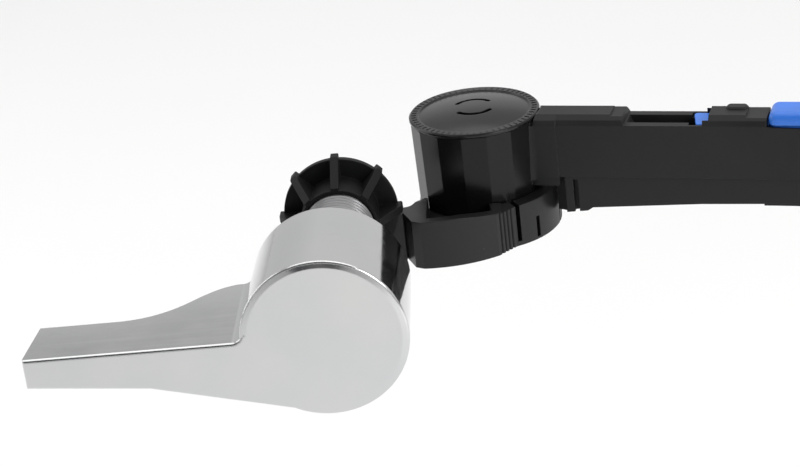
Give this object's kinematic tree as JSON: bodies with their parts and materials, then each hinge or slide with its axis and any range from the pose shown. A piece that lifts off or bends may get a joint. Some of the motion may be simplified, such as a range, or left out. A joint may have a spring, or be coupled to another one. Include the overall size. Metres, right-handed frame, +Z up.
{
  "type": "cistern lever",
  "caption": "Front-mounted cistern flush lever with a chromed handle, threaded wall bushing, ribbed nut and a swivelling, telescoping lift arm with a blue latch.",
  "frame": {"origin": "on the spindle's axis, in the plane of the bushing flange's back face, which bears on the outer face of the cistern's wall", "axes": "+Y along the spindle into the cistern, +Z up, +X to the side that the lift arm points to"},
  "size_m": [0.2582, 0.1083, 0.036],
  "materials": {
    "chrome": "polished chrome plate",
    "steel": "zinc plated, satin",
    "spring_steel": "drawn wire, satin",
    "alloy": "turned, satin",
    "black_plastic": "moulded, satin",
    "blue_plastic": "moulded, satin"
  },
  "bodies": {
    "bushing": {"shank_bushing": "alloy"},
    "lever": {"handle_shell": "chrome", "handle_pin": "steel", "spindle": "steel", "thrust_washer": "black_plastic", "swivel_bracket": "black_plastic", "boss_washer": "steel", "boss_screw": "steel", "pivot_washer": "steel", "pivot_screw": "steel"},
    "nut": {"mounting_nut": "black_plastic"},
    "arm": {"arm_sleeve": "black_plastic", "hub_cap": "black_plastic", "latch_pin": "steel", "latch_spring": "spring_steel"},
    "slide": {"slide_arm": "black_plastic"},
    "latch": {"latch_button": "blue_plastic"}
  },
  "joints": [
    {"name": "lever_turn", "type": "hinge", "parent": "bushing", "child": "lever", "pos_m": [0, 0, 0], "axis": [0, -1, 0], "range_deg": [0, 30]},
    {"name": "nut_turn", "type": "hinge", "parent": "bushing", "child": "nut", "pos_m": [0, 0.033, 0], "axis": [0, 1, 0], "continuous": true},
    {"name": "arm_swivel", "type": "hinge", "parent": "lever", "child": "arm", "pos_m": [0.033, 0.0594, 0], "axis": [0, 0, 1], "range_deg": [-10, 105]},
    {"name": "arm_extend", "type": "slide", "parent": "arm", "child": "slide", "axis": [0.9681, -0.2504, 0], "range_m": [-0.018, 0.004]},
    {"name": "latch_press", "type": "hinge", "parent": "arm", "child": "latch", "pos_m": [0.09496, 0.04338, 0.0103], "axis": [0.2504, 0.9681, 0], "range_deg": [0, 2], "stiffness_Nm_per_rad": 0.05, "springref_deg": -1.15, "deforming": ["latch_spring"]}
  ]
}
